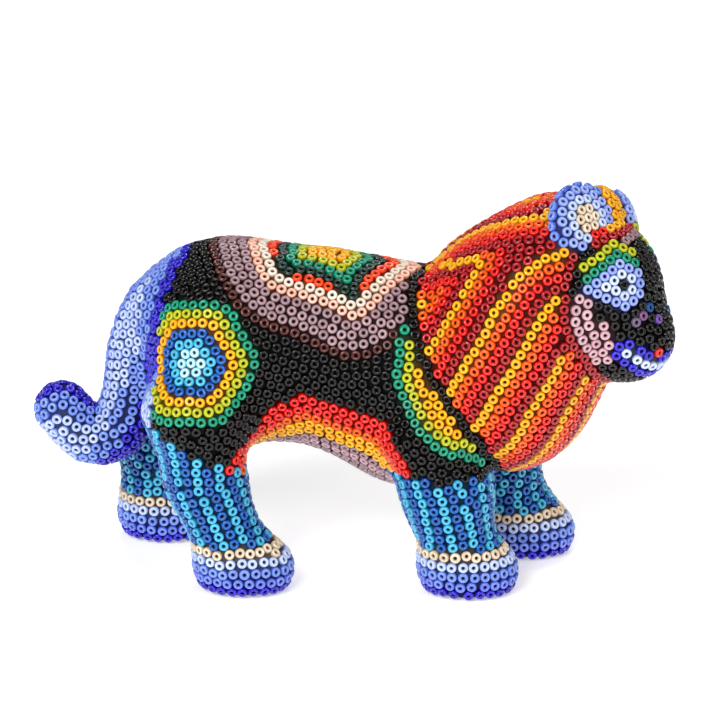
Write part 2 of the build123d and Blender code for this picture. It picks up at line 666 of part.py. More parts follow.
def layers():
    """All layers of rows, first the ones that keep their place when two meet.

    Each says which regions it lies in, how its rows are counted, where it reaches, what colours its
    rows have, and where the beads stand along a row if they aren't simply one step apart. Rows have
    whole numbers, so a layer that ends with row 3 reaches to 3.5.
    """
    found = []

    def add(region, rows, inside, paint, stations=None):
        found.append(dict(region=region, rows=rows, inside=inside, paint=paint, stations=stations))

    def everywhere(points, rows):
        return np.full(len(points), True)

    add(("face",), mouth_rows, lambda p, r: (r > 0.6) & (r < 1.5), mouth_paint)
    add(("face", "mane"), face_rows, lambda p, r: (np.abs(r) < 0.5) & (on_head(p)[:, 2] > CHIN), edge_paint)
    add(("face",), face_rows,
        lambda p, r: (r < 3.5) & (on_head(p)[:, 2] < CHEEK_TOP) & (on_head(p)[:, 2] > CHIN), edge_paint)
    add(("face",), face_rows, lambda p, r: (r < 1.5), edge_paint)
    add(("face",), eye_rows, lambda p, r: r > 2.4, black_paint)
    for side, ear in ((-1, "right_ear"), (1, "left_ear")):
        add((ear,), lambda p, side=side: ear_rows(p, side), everywhere,
            lambda r, p: picked(r, ["ear_cream", "ear_cream", "ear_pale", "ear_light_blue",
                                    "ear_periwinkle"]))
    add(("torso",), lambda p: ROWS["mane_edge"](p) + 0.5, lambda p, r: r < 1.5,
        lambda r, p: np.full(len(p), "torso_black"))
    add(("mane",), strand_rows, lambda p, r: r > -0.5, mane_paint)
    add(("mane",), hook_rows,
        lambda p, r: (np.abs(r) < 0.5) & (p[:, 0] < MANE_HOOK[4][0]) & (p[:, 2] > HOOK_LOW), hook_paint)
    add(("mane",), crown_rows, lambda p, r: (r < 3.5) & (strand_rows(p) < -0.4), crown_paint)
    add(("mane",), hook_rows, lambda p, r: (crown_rows(p) > 3.4) & (strand_rows(p) < -0.4), hook_paint)
    add(("torso",), flower_rows, lambda p, r: r < 6.5,
        lambda r, p: picked(r, ["haunch_aqua", "haunch_aqua", "haunch_turquoise", "haunch_cobalt",
                                "torso_yellow", "torso_lime", "torso_green"]))
    add(("torso",), lambda p: ROWS["shoulder"](p) + 0.5,
        lambda p, r: (ahead(p, SHOULDER_LINE) & (p[:, 2] < SHOULDER_HIGH) & (p[:, 2] > SHOULDER_LOW)
                      & (p[:, 0] < SHOULDER_FRONT)),
        lambda r, p: picked(r, ["torso_green", "torso_green", "torso_lime", "torso_yellow"]))
    add(("torso",), lambda p: ROWS["band"](p) + 0.5,
        lambda p, r: ~above(p, BAND_LINE) & between_ends(p, BAND_LINE),
        lambda r, p: picked(r, ["band_red", "band_red", "band_red", "band_orange", "torso_yellow",
                                "torso_yellow", "torso_mauve", "belly_pink", "torso_mauve"]))
    add(("torso",), star_rows, lambda p, r: r > -0.5,
        lambda r, p: picked(r, ["saddle_dark_green", "torso_green", "torso_lime", "torso_yellow"]))
    add(("torso",), saddle_rows, lambda p, r: (r > -2.5) & (star_rows(p) < -0.4),
        lambda r, p: picked(r, ["saddle_orange_red", "saddle_white", "saddle_peach", "torso_mauve",
                                "torso_mauve", "torso_mauve", "saddle_maroon", "torso_black"], -1))
    add(("tail",), lambda p: ROWS["tail_ridge"](p), everywhere, tail_paint)
    for name, leg in LEGS.items():
        add((name,), lambda p: (p[:, 2] - RING_FOOT) / RING_STEP, lambda p, r: r < 4.5,
            lambda r, p: picked(r, ["paw_ultramarine", "paw_blue", "paw_periwinkle", "paw_pale",
                                    "paw_cream"]))
        add((name,), lambda p, leg=leg: column_rows(p, leg),
            lambda p, r: p[:, 2] > RING_FOOT + 4.5 * RING_STEP,
            lambda r, p: np.where(np.round(r).astype(int) % 2, "leg_cobalt", "leg_turquoise"),
            column_stations(leg))
    return found


LINE_BENDS = {             # each pattern line, and the skin's bend radius beside it
    "white": (WHITE_LINE, 19.0),
    "star": (STAR_LINE, 19.0),
    "band": (BAND_LINE, 18.0),
    "shoulder": (SHOULDER_LINE, 20.0),
    "mane_edge": (MANE_EDGE, 40.0),
    "hook": (MANE_HOOK, 22.0),
    "strand": (MANE_STRAND, 22.0),
    "crown": (CROWN_STRAND, 20.0),
    "tail_edge": (TAIL_EDGE, 7.0),
    "tail_ridge": (TAIL_RIDGE, 7.0),
}
ROWS = {}


def prepare_rows():
    """Work out the pattern lines' distance functions once."""
    for name, (line, bend) in LINE_BENDS.items():
        ROWS[name] = rows_from(line, bend)


# --- laying the beads ---------------------------------------------------------------------------
EYE_STEP = 2.22            # bead spacing in the honeycomb of an eye
EYE_GRID = {               # honeycomb places round the pupil: columns forward, half steps up
    "face_white": [(0, 2), (0, -2), (1, 1), (1, -1), (-1, 1), (-1, -1), (-2, 0)],
    "eye_periwinkle": [(0, 4), (-1, 3), (-2, 2), (-3, 1), (-4, 0), (-3, -1), (-2, -2), (-1, -3), (0, -4),
                       (1, -3), (2, -2), (2, 0), (2, 2), (1, 3)],
    "brow_green": [(-4, 2), (-3, 3), (-2, 4), (-1, 5), (0, 6), (1, 5), (2, 4)],
    "brow_lime": [(-4, 4), (-3, 5), (-2, 6), (-1, 7), (0, 8), (1, 7), (2, 6)],
}


def eye_beads():
    """Beads of the right eye and its brow, on the unturned head."""
    centre = settled(turned(np.array([EYE_CENTRE], float), HEAD_TURN, HEAD_PIVOT))
    outward = slope(bead_level, centre)[0]
    forward = np.cross([0.0, 0.0, 1.0], outward)
    forward /= np.linalg.norm(forward)
    up = np.cross(outward, forward)
    found = [(EYE_CENTRE, "face_black")]
    for colour, grid in EYE_GRID.items():
        for column, half in grid:
            along = forward * column * math.cos(math.pi / 6.0) + up * half / 2.0
            place = on_head(centre + EYE_STEP * along)[0]
            found.append((tuple(place), colour))
    return found


def named_beads():
    """Beads with a place of their own: most on the face, and the hearts of the flowers."""
    places = eye_beads()
    for place in MOUTH_LINE:
        places.append((place, "face_white"))
    places.append(((65.6, -3.9, 52.6), "nose_red"))
    for place in [(62.4, -8.2, 59.8), (63.7, -6.4, 60.8), (64.6, -4.2, 61.9), (65.6, -3.0, 59.5)]:
        places.append((place, "muzzle_iridescent"))
    points = []
    colours = []
    for (forward, aside, height), colour in places:
        for mirrored in ((aside, -aside) if aside else (aside,)):
            points.append((forward, mirrored, height))
            colours.append(colour)
    world = turned(np.array(points + [ear["hollow"] for ear in EARS.values()], float), HEAD_TURN, HEAD_PIVOT)
    hearts = [np.array(FLOWER_CENTRE) * [1, side, 1] for side in (-1, 1)]
    world = np.concatenate([world, np.array(hearts)])
    return settled(world), colours + ["ear_cream", "ear_cream", "haunch_aqua", "haunch_aqua"]


def laid_rows(points, triangles, names):
    """Candidate beads of every layer in order, as places and colours."""
    for layer in layers():
        field = layer["rows"](points)
        mask = np.isin(names, layer["region"])
        near = grown(mask & layer["inside"](points, field), triangles)
        field = np.where(near, field, np.nan)
        if not near.any():
            continue
        for level in range(math.ceil(np.nanmin(field)), math.floor(np.nanmax(field)) + 1):
            shift = 0.5 if level % 2 else 0.0
            for line in level_lines(points, triangles, field, level + 1e-6):
                if layer["stations"] is None:
                    beads = evenly_spaced(line, BEAD_STEP, shift)
                else:
                    beads = at_stations(line, layer["stations"])
                if len(beads) == 0:
                    continue
                beads = settled(beads, 2)
                keep = np.isin(regions(beads), layer["region"])
                keep &= layer["inside"](beads, layer["rows"](beads))
                beads = beads[keep]
                yield beads, layer["paint"](np.full(len(beads), float(level)), beads)


def grown(mask, triangles):
    """The mask with the neighbours of its points."""
    touched = mask[triangles].any(axis=1)
    wider = mask.copy()
    wider[triangles[touched].ravel()] = True
    return wider


def on_sole(points):
    """Whether a point is on the flat sole, which has no beads."""
    return points[:, 2] < SOLE_EDGE


def kept_apart(beads, colours, least):
    """The first beads in order, without any that crowd an earlier one."""
    tree = cKDTree(beads)
    keep = np.full(len(beads), True)
    for index, crowd in enumerate(tree.query_ball_point(beads, least)):
        if keep[index]:
            later = [other for other in crowd if other > index]
            keep[later] = False
    return beads[keep], colours[keep]


def painted(points):
    """Colour of the pattern at each point from the first layer that covers it, or an empty name."""
    names = regions(points)
    colours = np.full(len(points), "", dtype="<U24")
    free = np.full(len(points), True)
    for layer in layers():
        rows = layer["rows"](points)
        mine = free & np.isin(names, layer["region"]) & layer["inside"](points, rows)
        colours[mine] = layer["paint"](rows[mine], points[mine])
        free &= ~mine
    return colours


def filled_gaps(beads, colours, spots, gap):
    """Add beads where one more fits between the rows, the tightest places first."""
    for _ in range(2):
        free = cKDTree(beads).query(spots)[0]
        order = np.argsort(free)
        order = order[free[order] > gap]
        if len(order) == 0:
            break
        extra = spots[order]
        extra, _ = kept_apart(extra, np.arange(len(extra)), gap)
        paint = painted(extra)
        nearest = colours[cKDTree(beads).query(extra)[1]]
        paint = np.where(paint == "", nearest, paint)
        beads = np.concatenate([beads, extra])
        colours = np.concatenate([colours, paint])
    return beads, colours


def eased(beads, rounds):
    """Push crowded beads apart a little, as the needle does."""
    for _ in range(rounds):
        pairs = cKDTree(beads).query_pairs(BEAD_APART, output_type="ndarray")
        if len(pairs) == 0:
            break
        apart = beads[pairs[:, 0]] - beads[pairs[:, 1]]
        length = np.linalg.norm(apart, axis=1, keepdims=True)
        push = EASE * (BEAD_APART - length) * apart / length
        move = np.zeros_like(beads)
        np.add.at(move, pairs[:, 0], push)
        np.add.at(move, pairs[:, 1], -push)
        beads = settled(beads + move, 1)
    return beads


def spread(beads, spots):
    """Move each bead part of the way to the middle of the skin that is nearest to it."""
    nearest = cKDTree(beads).query(spots)[1]
    total = np.zeros_like(beads)
    np.add.at(total, nearest, spots)
    share = np.bincount(nearest, minlength=len(beads))[:, None]
    middle = np.where(share > 0, total / np.maximum(share, 1), beads)
    return settled(beads + SPREAD * (middle - beads), 1)


def bead_places():
    """Places, directions and colours of all beads."""
    prepare_rows()
    points, triangles = level_mesh()
    names = regions(points)
    places, colours = named_beads()
    places = [places]
    colours = list(colours)
    for beads, paint in laid_rows(points, triangles, names):
        places.append(beads)
        colours.extend(paint)
    beads, colours = kept_apart(np.concatenate(places), np.array(colours, dtype="<U24"), CROWD)
    spots = np.concatenate([points, settled(points[triangles].mean(axis=1), 2)])
    spots = spots[~on_sole(spots)]
    for gap in GAPS:
        beads = eased(beads, EASING)
        beads, colours = kept_apart(beads, colours, gap - 0.05)
        beads, colours = filled_gaps(beads, colours, spots, gap)
        beads = spread(beads, spots)
    beads = eased(beads, 2 * EASING)
    beads, colours = kept_apart(beads, colours, BEAD_APART - 0.03)
    standing = ~on_sole(beads)
    beads = beads[standing]
    return beads, slope(bead_level, beads), colours[standing]


# --- solids -------------------------------------------------------------------------------------
def solid_ellipsoid(centre, radii, inset):
    """Ellipsoid solid whose radii are all smaller by the inset, made of a left and a right half."""
    small = tuple(radius - inset for radius in radii)
    half = Sphere(1.0, arc_size3=180, align=None)
    left, right = [Pos(*centre) * scale(turn * half, by=small) for turn in (Rot(0, 0, 0), Rot(0, 0, 180))]
    return left + right


def solid_limb(start, start_radius, end, end_radius, inset):
    """Straight limb between two balls, smaller by the inset."""
    start = Vector(*start)
    end = Vector(*end)
    low = start_radius - inset
    high = end_radius - inset
    length = (end - start).length
    middle = Plane(origin=(start + end) * 0.5, z_dir=end - start)
    if abs(low - high) < 0.01:
        shaft = Cylinder(low, length)
    else:
        shaft = Cone(low, high, length)
    balls = Pos(*start) * Sphere(low) + Pos(*end) * Sphere(high)
    return middle.location * shaft + balls


def cut_level(solid, height):
    """The part of a solid above a height."""
    return solid & (Pos(0, 0, height + 100) * Box(400, 400, 200))


def torso_solid(inset):
    """Rump, barrel, chest and haunches."""
    body = solid_ellipsoid(*RUMP, inset)
    body += solid_ellipsoid(*BARREL, inset)
    body += solid_ellipsoid(*CHEST, inset)
    (forward, aside, height), radii = HAUNCH
    for side in (-1, 1):
        body += solid_ellipsoid((forward, side * aside, height), radii, inset)
    return body


def head_turn():
    """Turn of the head about its upright pivot."""
    return Pos(*HEAD_PIVOT) * Rot(0, 0, -HEAD_TURN) * Pos(*(-HEAD_PIVOT))


def head_solid(inset):
    """Mane and face."""
    head = head_turn() * solid_ellipsoid(*MANE_TOP, inset)
    head += solid_ellipsoid(*MANE_FRONT, inset)
    for form in (SKULL, MUZZLE, CREST):
        head += head_turn() * solid_ellipsoid(*form, inset)
    return head


def ear_solids(inset):
    """Both ears."""
    ears = []
    for ear in EARS.values():
        outward, _, upright = ear_axes(ear)
        plane = Plane(origin=ear["place"], x_dir=tuple(outward), z_dir=tuple(upright))
        ears.append(head_turn() * plane.location * solid_ellipsoid((0, 0, 0), ear["radii"], inset))
    return ears


def leg_solid(leg, inset, sole):
    """One leg with its paw, cut flat at the height of its sole."""
    shape = solid_limb(*leg_joint(leg, "top"), *leg_joint(leg, "knee"), inset)
    shape += solid_limb(*leg_joint(leg, "knee"), *leg_joint(leg, "ankle"), inset)
    shape += solid_ellipsoid(*paw_shape(leg), inset)
    return cut_level(shape, sole)


def tail_solid(inset):
    """The whole tail, from inside the rump to its tip."""
    pieces = [solid_limb(*piece, inset) for piece in tail_limbs()]
    shape = pieces[0]
    for piece in pieces[1:]:
        shape += piece
    return shape


def dowel(start, end, diameter):
    """Round pin from one point to another."""
    start = Vector(*start)
    end = Vector(*end)
    middle = Plane(origin=(start + end) * 0.5, z_dir=end - start)
    return middle.location * Cylinder(diameter / 2.0, (end - start).length)


def carved_parts():
    """Wooden core, dowels and wax, by node name."""
    inner = COVER + WAX_GAP + WAX
    outer = COVER + WAX_GAP
    torso = torso_solid(inner)
    torso_wax = torso_solid(outer)
    head = head_solid(inner)
    tail = tail_solid(inner)
    ears = ear_solids(outer + EAR_WAX)
    legs = {name: leg_solid(leg, inner, WAX) for name, leg in LEGS.items()}

    neck_dowel = dowel(*NECK_PIN, NECK_DOWEL)
    tail_dowel = dowel(*TAIL_PIN, TAIL_DOWEL)
    leg_dowels = {}
    for name, leg in LEGS.items():
        side = leg["side"]
        knee = (leg["knee"][0], side, leg["knee"][1] - KNEE_PIN)
        top = (leg["top"][0], side, leg["top"][1] + TOP_PIN)
        leg_dowels[name] = dowel(knee, top, LEG_DOWEL)

    parts = {}
    torso_core = torso - neck_dowel - tail_dowel
    for pin in leg_dowels.values():
        torso_core -= pin
    parts["torso_core"] = torso_core
    parts["head_core"] = head - torso - neck_dowel
    parts["tail_core"] = tail - torso - tail_dowel
    parts["ear_cores"] = Compound([solid_of(ear - head) for ear in ears])
    for name in LEGS:
        parts[name + "_core"] = legs[name] - torso - parts["head_core"] - leg_dowels[name]
    pins = [neck_dowel, tail_dowel] + list(leg_dowels.values())
    parts["dowels"] = Compound([solid_of(pin) for pin in pins])

    wood = [torso, head, tail] + ears + list(legs.values())
    parts["torso_wax"] = without(torso_wax, wood)
    head_wax = head_solid(outer)
    for ear in ear_solids(outer):
        head_wax += ear
    parts["head_wax"] = without(head_wax, wood + [torso_wax])
    parts["tail_wax"] = without(tail_solid(outer), wood + [torso_wax])
    for name, leg in LEGS.items():
        wax = without(leg_solid(leg, outer, 0.0), wood + [torso_wax, head_wax])
        parts[name + "_wax"] = solid_of(wax)
    return parts


def without(solid, others):
    """A solid with all the others cut out of it."""
    for other in others:
        solid = solid - other
    return solid


def solid_of(shape):
    """The largest solid in a shape."""
    return max(shape.solids(), key=lambda solid: solid.volume)


def bead_solid():
    """One bead: a short tube with bevelled outer edges, its hole along Z."""
    tube = Cylinder(BEAD_OUTER / 2.0, BEAD_HEIGHT)
    tube = chamfer(tube.edges(), BEAD_BEVEL)
    return solid_of(tube - Cylinder(BEAD_HOLE / 2.0, 1.5 * BEAD_HEIGHT))


def main():
    """Write every node."""
    os.makedirs("parts", exist_ok=True)
    beads, axes, colours = bead_places()
    reach = np.abs(axes) * BEAD_HEIGHT / 2.0 + np.sqrt(1.0 - axes**2) * BEAD_OUTER / 2.0
    middle = ((beads - reach).min(axis=0) + (beads + reach).max(axis=0)) / 2.0
    move = Pos(-middle[0], -middle[1], 0.0)

    for name, shape in carved_parts().items():
        solids = [move * solid for solid in shape.solids()]
        whole = solids[0] if len(solids) == 1 else Compound(solids)
        export_step(whole, f"parts/{name}.step")
        print(name, len(solids), round(whole.volume, 1))

    bead = bead_solid()
    shift = np.array([middle[0], middle[1], 0.0])
    for colour in sorted(set(colours)):
        mine = np.flatnonzero(colours == colour)
        group = [bead.moved(Plane(origin=tuple(beads[index] - shift), z_dir=tuple(axes[index])).location)
                 for index in mine]
        export_step(Compound(group), f"parts/{colour}_beads.step", write_pcurves=False)
        print(colour, len(group))
    print("beads in all:", len(beads))


if __name__ == "__main__":
    main()
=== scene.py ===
"""Looks of the beaded lion: rounded glass beads set in wax, on a pale studio floor.

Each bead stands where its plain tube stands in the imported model. The wax follows the beads' seats.
"""

import json
import math

import bpy
import numpy as np
from mathutils import Matrix, Vector
from mathutils.kdtree import KDTree


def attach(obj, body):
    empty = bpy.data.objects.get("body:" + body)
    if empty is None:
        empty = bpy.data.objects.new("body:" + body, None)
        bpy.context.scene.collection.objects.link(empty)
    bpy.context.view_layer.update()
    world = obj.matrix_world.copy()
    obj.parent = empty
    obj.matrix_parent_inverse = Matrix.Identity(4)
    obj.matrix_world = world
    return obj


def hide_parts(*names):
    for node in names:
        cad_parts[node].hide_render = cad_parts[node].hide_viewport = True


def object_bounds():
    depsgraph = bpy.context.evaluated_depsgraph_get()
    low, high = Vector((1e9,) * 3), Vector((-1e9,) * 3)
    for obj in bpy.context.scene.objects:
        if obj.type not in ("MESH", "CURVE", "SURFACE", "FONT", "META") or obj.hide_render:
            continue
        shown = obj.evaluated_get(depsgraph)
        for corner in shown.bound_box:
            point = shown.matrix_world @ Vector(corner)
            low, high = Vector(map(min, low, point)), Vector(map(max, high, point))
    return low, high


MM = 0.001
RNG = np.random.default_rng(11)

# beads, in millimetres
BEAD_OUTER = 1.05          # outer radius
BEAD_OUTER_MOST = 1.16     # the same where its neighbours leave room
BEAD_PRESS = 0.04          # neighbouring beads press into each other by this much each
BEAD_HOLE = 0.29           # radius of the hole
BEAD_HALF = 0.675          # half of its length
BEAD_ROUND = 0.84          # power of the rounded section: 1 is an ellipse, less is squarer
BEAD_SIDES = 18            # corners of a bead seen along its hole
BEAD_BOX_MOST = 3.0        # no bead's box has a longer side
BEAD_LEAST_POINTS = 12     # no bead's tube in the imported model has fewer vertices
BEAD_SECTION = (           # angle round the section, paleness of the painted highlight on the crown, darkness of the painted shade in the hole
    (-90, 0.0, 0.0), (-30, 0.0, 0.0), (5, 0.1, 0.0), (32, 0.55, 0.0), (60, 0.95, 0.0), (90, 1.0, 0.0),
    (118, 0.9, 0.0), (148, 0.5, 0.4), (180, 0.0, 1.0))
TILT = 7.0                 # degrees that a bead may lean
NARROWEST = 0.98           # least width of a bead, as a share of its own full width
SHORTEST = 0.92            # least length of a bead, as a share of the full length
TINT_MIDDLE = 0.5          # each bead has a tint of its own, from 0 to 1
TINT_SPREAD = 0.28
HOLE_SHADE = 0.35          # brightness of the painted shade inside a glass's hole, as a share of its rim's

# wax, in millimetres
WAX_VOXEL = 0.6            # grid of the coat's skin
WAX_RISE = 0.34            # the wax stands this far above the bottom of the beads
WAX_SEATS = 7              # number of beads that set the level at a point
WAX_REACH = 4.5            # beads further away don't count
WAX_BLUR = 1.4             # distance at which a bead's say has fallen to about a third
WAX_DOWN_MOST = 1.0        # furthest that one pass may lower the skin
WAX_UP_MOST = 2.5          # furthest that one pass may raise it
WAX_PASSES = 2
SOLE_HEIGHT = 0.7          # below this the skin belongs to the flat soles and stays
PAINTED_LIGHT_SHARE = 0.16               # share of the wax's colour that is painted light in the colour of the beads round it
PAINTED_LIGHT_BEADS = 4            # number of beads whose colour is painted as light on a point of the wax
LIGHTNESS = (0.3, 0.6, 0.1)    # how much red, green and blue add to the lightness of a colour

# grain of the surfaces: noise scales, where 1000 makes spots of about a millimetre
GLASS_CLOUD = 900.0
GLASS_POLISH = 600.0
GLASS_RIPPLE = 1500.0
WAX_CLOUD = 160.0
WAX_POLISH = 500.0
WAX_GRAIN = 900.0
WOOD_GRAIN = (60.0, 700.0, 700.0)
FLOOR_CLOUD = 6.0
FLOOR_GRAIN = 700.0

# camera, in metres and degrees, found by matching the figure's outline
VIEW_TURN = 5.5
VIEW_DOWN = 18.0
VIEW_AWAY = 0.9
VIEW_TARGET = (0.0003, 0.0001, 0.043)
FRAME_WIDTH = 0.150
SENSOR = 36.0              # width of the sensor, in millimetres
SHIFT_RIGHT = 0.00833      # lens shifts, as shares of the frame's width
SHIFT_UP = 0.01528

# studio, in metres and watts
FLOOR_SIZE = 6.0
FLOOR_DROP = 0.00002       # the floor lies this far under the soles
SKY_LIGHT = 0.12           # light that the surroundings give
SKY_SEEN = 0.95            # their brightness behind the floor's edge
LIGHT_AIM = (0, 0, 0.04)
LIGHTS = (                 # name, place, width and height of the soft box, power
    ("key", (-0.35, -0.9, 0.7), (0.7, 0.5), 12.5),
    ("fill", (0.8, -0.7, 0.6), (0.6, 0.6), 4.0),
    ("back", (0.1, 0.7, 0.9), (0.8, 0.5), 6.0))

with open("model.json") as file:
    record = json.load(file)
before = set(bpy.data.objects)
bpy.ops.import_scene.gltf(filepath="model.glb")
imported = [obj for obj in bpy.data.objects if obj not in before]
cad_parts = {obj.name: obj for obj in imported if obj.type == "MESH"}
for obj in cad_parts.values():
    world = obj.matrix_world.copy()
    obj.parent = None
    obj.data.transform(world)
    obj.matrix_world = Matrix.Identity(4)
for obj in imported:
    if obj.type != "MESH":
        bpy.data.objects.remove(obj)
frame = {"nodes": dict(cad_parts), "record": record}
CAD_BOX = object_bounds()
NODES = frame["nodes"]
SLOTS = {part["node"]: part["material_slot"] for part in frame["record"]["subparts"]}
WAX_NODES = sorted(name for name in NODES if name.endswith("_wax"))
CORE_NODES = sorted(name for name in NODES if name.endswith(("_core", "_cores")))
BEAD_NODES = sorted(name for name in NODES if name.endswith("_beads"))


# --- shader helpers ---------------------------------------------------------------------------
def srgb(code):
    """Linear colour from a six-digit display colour, by the sRGB standard's curve."""
    values = [int(code[i:i + 2], 16) / 255 for i in (0, 2, 4)]
    return [v / 12.92 if v <= 0.04045 else ((v + 0.055) / 1.055) ** 2.4 for v in values] + [1.0]


class Shader:
    """A node material with short calls for its nodes."""

    def __init__(self, name):
        self.material = bpy.data.materials.new(name)
        self.material.use_nodes = True
        self.tree = self.material.node_tree
        self.main = self.tree.nodes["Principled BSDF"]

    def node(self, kind, **settings):
        """New node; each setting is one of its inputs or, if it has none by that name, its property."""
        made = self.tree.nodes.new(kind)
        for name, value in settings.items():
            if name in made.inputs:
                made.inputs[name].default_value = value
            else:
                setattr(made, name, value)
        return made

    def link(self, source, target):
        self.tree.links.new(source, target)

    def set(self, **values):
        """Values of the main shader's own sockets."""
        for name, value in values.items():
            self.main.inputs[name.replace("_", " ")].default_value = value

    def attribute(self, name):
        """One value per vertex, which the mesh carries."""
        return self.node("ShaderNodeAttribute", attribute_name=name).outputs["Fac"]

    def noise(self, scale, detail=2.0):
        place = self.node("ShaderNodeTexCoord").outputs["Object"]
        noise = self.node("ShaderNodeTexNoise", Scale=scale, Detail=detail)
        self.link(place, noise.inputs["Vector"])
        return noise.outputs["Fac"]

    def ramp(self, value, stops):
        """Colours laid along a value from 0 to 1."""
        ramp = self.node("ShaderNodeValToRGB")
        bar = ramp.color_ramp
        while len(bar.elements) < len(stops):
            bar.elements.new(0.5)
        for element, (place, colour) in zip(bar.elements, stops):
            element.position = place
            element.color = colour
        self.link(value, ramp.inputs["Fac"])
        return ramp.outputs["Color"]

    def mix(self, amount, first, second, blend="MIX"):
        """Second colour over the first; the amount and the colours are values or sockets."""
        mix = self.node("ShaderNodeMix", data_type="RGBA", blend_type=blend)
        if isinstance(amount, float):
            mix.inputs[0].default_value = amount
        else:
            self.link(amount, mix.inputs[0])
        for socket, value in ((mix.inputs[6], first), (mix.inputs[7], second)):
            if isinstance(value, (list, tuple)):
                socket.default_value = value
            else:
                self.link(value, socket)
        return mix.outputs[2]

    def product(self, first, second):
        times = self.node("ShaderNodeMath", operation="MULTIPLY")
        self.link(first, times.inputs[0])
        self.link(second, times.inputs[1])
        return times.outputs[0]

    def span(self, value, low, high):
        """The value's 0 to 1 laid onto low to high."""
        laid = self.node("ShaderNodeMapRange")
        laid.inputs["To Min"].default_value = low
        laid.inputs["To Max"].default_value = high
        self.link(value, laid.inputs["Value"])
        return laid.outputs["Result"]

    def bump(self, height, strength, distance):
        bump = self.node("ShaderNodeBump", Strength=strength, Distance=distance)
        self.link(height, bump.inputs["Height"])
        self.link(bump.outputs["Normal"], self.main.inputs["Normal"])


def darker(colour, share):
    """A colour at a share of its brightness."""
    return [channel * share for channel in colour[:3]] + [1.0]


def grey(level):
    """Linear grey."""
    return (level, level, level, 1)


# --- glass ------------------------------------------------------------------------------------
# colour of the rim, paler colour of the painted highlight on the crown round the hole, glow inside the
# glass, roughness
GLASS = {
    "glass_red": ("c80402", "f4241a", 0.15, 0.10),
    "glass_dark_red": ("820208", "b81820", 0.15, 0.10),
    "glass_orange": ("e03a02", "fa660e", 0.20, 0.10),
    "glass_orange_red": ("e42402", "fc541c", 0.20, 0.10),
    "glass_nose_red": ("d80c04", "fc3424", 0.15, 0.08),
    "glass_yellow": ("ee9002", "fec00c", 0.20, 0.10),
    "glass_lime": ("8e9202", "cace1c", 0.20, 0.10),
    "glass_green": ("02664c", "0aa07a", 0.15, 0.10),
    "glass_dark_green": ("061814", "1e3e36", 0.08, 0.10),
    "glass_turquoise": ("0c8cc0", "54c6ea", 0.15, 0.10),
    "glass_aqua": ("74ccea", "ccf4fe", 0.20, 0.12),
    "glass_cobalt": ("043484", "1c68c0", 0.12, 0.09),
    "glass_ultramarine": ("1404a0", "382cd4", 0.12, 0.08),
    "glass_blue": ("3a4cc8", "7c94f0", 0.12, 0.09),
    "glass_periwinkle": ("4664cc", "86a4f2", 0.12, 0.10),
    "glass_soft_periwinkle": ("647ade", "a4b8f6", 0.15, 0.10),
    "glass_light_blue": ("7490e4", "cedcfc", 0.15, 0.11),
    "glass_pale_blue": ("8ea6e8", "d4e2fc", 0.15, 0.16),
    "glass_white": ("a2b6e6", "dae6fe", 0.15, 0.15),
    "glass_cream": ("c8ac88", "f4e4cc", 0.15, 0.16),
    "glass_beige": ("d0b494", "f8ecde", 0.15, 0.16),
    "glass_peach": ("dc8464", "fbd0bc", 0.15, 0.16),
    "glass_pink": ("a26674", "dcb6be", 0.15, 0.15),
    "glass_mauve": ("56303a", "b4949a", 0.15, 0.15),
    "glass_maroon": ("220806", "5c2822", 0.08, 0.14),
}
# shades that the lustre takes from bead to bead; the first is also the rim's
DARK_GLASS = {
    "glass_black": ("040302", "0a0908", "0e0b08", "08070a"),
    "glass_iridescent": ("1c3c8c", "0c8064", "8c3080", "3460bc"),
}


def glass(name, rim, crown, glow, rough):
    """Glossy coloured glass: a painted highlight makes it paler round the hole than at the rim, painted
    shade darkens the inside of the hole, and it is a little different in each bead.
    """
    s = Shader(name)
    cloud = s.ramp(s.noise(GLASS_CLOUD), [(0.35, grey(0.84)), (0.65, grey(1.0))])
    # painted highlight: the crown round the hole is paler, where a bead faces the light
    painted_highlight = s.product(s.attribute("crown"), s.span(s.attribute("tint"), low=0.6, high=1.0))
    colour = s.mix(1.0, s.mix(painted_highlight, srgb(rim), srgb(crown)), cloud, "MULTIPLY")
    # painted shade: the inside of the hole is darker than the rim
    colour = s.mix(s.attribute("hole"), colour, darker(srgb(rim), HOLE_SHADE))
    s.link(colour, s.main.inputs["Base Color"])
    s.link(s.span(s.noise(GLASS_POLISH), low=rough, high=2 * rough), s.main.inputs["Roughness"])
    s.set(IOR=1.5, Specular_IOR_Level=0.3, Coat_Weight=0.5, Coat_Roughness=0.04)
    s.set(Subsurface_Weight=glow, Subsurface_Scale=0.0004, Subsurface_Radius=(1.0, 0.9, 0.8))
    s.bump(s.noise(GLASS_RIPPLE), strength=0.06, distance=0.0001)
    return s.material


def dark_glass(name, *shades):
    """Near-black glass with a lustre whose hue differs from bead to bead, and painted shade inside the
    hole.
    """
    s = Shader(name)
    count = len(shades)
    stops = [((i + 0.5) / count, srgb(shade)) for i, shade in enumerate(shades)]
    # painted shade: near black inside the hole
    colour = s.mix(s.attribute("hole"), s.ramp(s.attribute("tint"), stops), srgb("020201"))
    s.link(colour, s.main.inputs["Base Color"])
    s.link(s.span(s.noise(GLASS_POLISH), low=0.05, high=0.16), s.main.inputs["Roughness"])
    s.set(IOR=1.5, Specular_IOR_Level=0.25, Coat_Weight=0.3, Coat_Roughness=0.04)
    s.bump(s.noise(GLASS_RIPPLE), strength=0.08, distance=0.0001)
    return s.material


